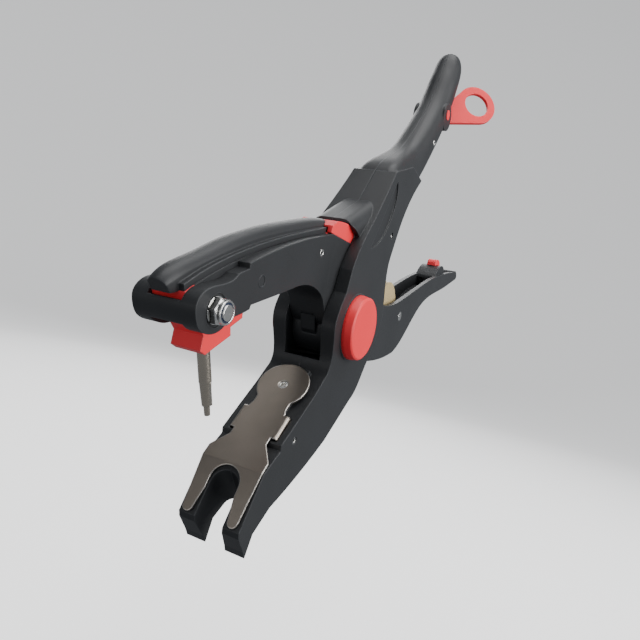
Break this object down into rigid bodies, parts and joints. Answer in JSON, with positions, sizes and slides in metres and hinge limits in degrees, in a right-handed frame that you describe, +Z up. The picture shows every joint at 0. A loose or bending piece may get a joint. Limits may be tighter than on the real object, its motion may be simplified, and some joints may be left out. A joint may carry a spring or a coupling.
{
  "type": "ear tag applicator",
  "caption": "Livestock ear tag applicator pliers: sprung arm with a folding steel pin over a forked jaw with a steel tag clip, squeeze handles and a latch ring.",
  "frame": {"origin": "centre of the bounding box of the whole tool at rest, handles open", "axes": "+X forward towards the jaws, +Y to the user's right across the tool, +Z up; the handle end is at -X"},
  "size_m": [0.3152, 0.0472, 0.2662],
  "materials": {
    "black_moulding": "matte",
    "red_moulding": "satin",
    "clip_steel": "brushed",
    "pin_steel": "satin",
    "zinc_steel": "polished",
    "nut_nylon": "satin",
    "core_plastic": "satin",
    "bronze": "satin",
    "spring_steel": "satin"
  },
  "bodies": {
    "frame": {"frame_right": "black_moulding", "frame_left": "black_moulding", "tag_clip": "clip_steel", "clip_screw": "zinc_steel", "pivot_bolt": "zinc_steel", "pivot_nut": "zinc_steel", "pivot_cap_right": "red_moulding", "pivot_cap_left": "red_moulding", "frame_pins": "zinc_steel", "ring_stud": "red_moulding"},
    "rocker": {"jaw_arm": "black_moulding", "core_plate": "core_plastic", "spring_bar": "black_moulding", "bar_carrier": "red_moulding", "lever": "black_moulding", "lever_cross_pin": "zinc_steel", "nub_cap": "red_moulding", "arm_pin": "zinc_steel", "tip_bolt": "zinc_steel", "tip_washer": "zinc_steel", "lock_nut": "zinc_steel", "nut_insert": "nut_nylon", "pivot_bush": "bronze", "thrust_washers": "zinc_steel", "return_spring": "spring_steel"},
    "pin_block": {"pin_block": "red_moulding", "applicator_pin": "pin_steel", "block_spring": "spring_steel"},
    "ring": {"latch_ring": "red_moulding"}
  },
  "joints": [
    {"name": "main_pivot", "type": "hinge", "parent": "frame", "child": "rocker", "pos_m": [0.03805, -0.00355, -0.04109], "axis": [0, 1, 0], "range_deg": [0, 30], "stiffness_Nm_per_rad": 0.6, "springref_deg": -25.78},
    {"name": "block_hinge", "type": "hinge", "parent": "rocker", "child": "pin_block", "pos_m": [0.14085, -0.00355, -0.04499], "axis": [0, -1, 0], "range_deg": [0, 70], "stiffness_Nm_per_rad": 0.02, "springref_deg": -22.92},
    {"name": "ring_hinge", "type": "hinge", "parent": "frame", "child": "ring", "pos_m": [-0.04905, -0.00355, 0.09141], "axis": [0, -1, 0], "range_deg": [0, 38]}
  ]
}
